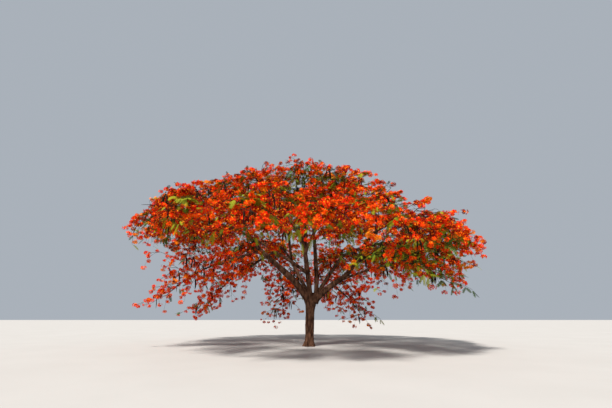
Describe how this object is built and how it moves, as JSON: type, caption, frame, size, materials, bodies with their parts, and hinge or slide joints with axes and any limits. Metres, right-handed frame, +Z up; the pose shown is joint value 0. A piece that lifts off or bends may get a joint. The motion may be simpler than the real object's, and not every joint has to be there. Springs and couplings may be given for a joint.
{
  "type": "flame tree",
  "caption": "Broad umbrella-crowned flame tree in full scarlet blossom: a short leaning trunk that forks low, spreading boughs, drooping blossom sprays, feathery leaves and long pods.",
  "frame": {"origin": "middle of the flat cut under the trunk, at ground level", "axes": "+Z up; +X towards the crown's lower side, on the right of the picture, with the fuller and higher side towards -X; +Y away from the camera of the picture"},
  "size_m": [18.2265, 18.563, 9.7516],
  "materials": {
    "bark": "dark grey-brown rough bark",
    "crown": "scarlet blossom among green leaves",
    "flower": "scarlet to orange petals, soft sheen",
    "leaf": "feathery leaves, green to yellow-green",
    "twig": "grey-brown young bark",
    "pod": "dark brown woody pods"
  },
  "bodies": {
    "root": {"trunk": "bark", "limb_left": "bark", "limb_rear": "bark", "limb_front": "bark", "limb_right": "bark", "limb_rear_left": "bark", "limb_right_rear": "bark", "limb_upper_left": "bark", "rim_bough_1": "bark", "rim_bough_2": "bark", "rim_bough_3": "bark", "rim_bough_4": "bark", "rim_bough_5": "bark", "rim_bough_6": "bark", "rim_bough_7": "bark", "shoulder_bough_1": "bark", "shoulder_bough_2": "bark", "shoulder_bough_3": "bark", "shoulder_bough_4": "bark", "top_bough_1": "bark", "top_bough_2": "bark", "low_bough_1": "bark", "low_bough_2": "bark", "low_bough_3": "bark", "low_bough_4": "bark", "low_bough_5": "bark", "low_bough_6": "bark", "rim_foliage_1": "crown", "rim_foliage_2": "crown", "rim_foliage_3": "crown", "rim_foliage_4": "crown", "rim_foliage_5": "crown", "rim_foliage_6": "crown", "rim_foliage_7": "crown", "rim_foliage_8": "crown", "rim_foliage_9": "crown", "rim_foliage_10": "crown", "rim_foliage_11": "crown", "rim_foliage_12": "crown", "rim_foliage_13": "crown", "rim_foliage_14": "crown", "shoulder_foliage_1": "crown", "shoulder_foliage_2": "crown", "shoulder_foliage_3": "crown", "shoulder_foliage_4": "crown", "shoulder_foliage_5": "crown", "shoulder_foliage_6": "crown", "shoulder_foliage_7": "crown", "shoulder_foliage_8": "crown", "top_foliage_1": "crown", "top_foliage_2": "crown", "top_foliage_3": "crown", "top_foliage_4": "crown", "low_foliage_1": "crown", "low_foliage_2": "crown", "low_foliage_3": "crown", "low_foliage_4": "crown", "low_foliage_5": "crown", "low_foliage_6": "crown"}
  },
  "joints": []
}
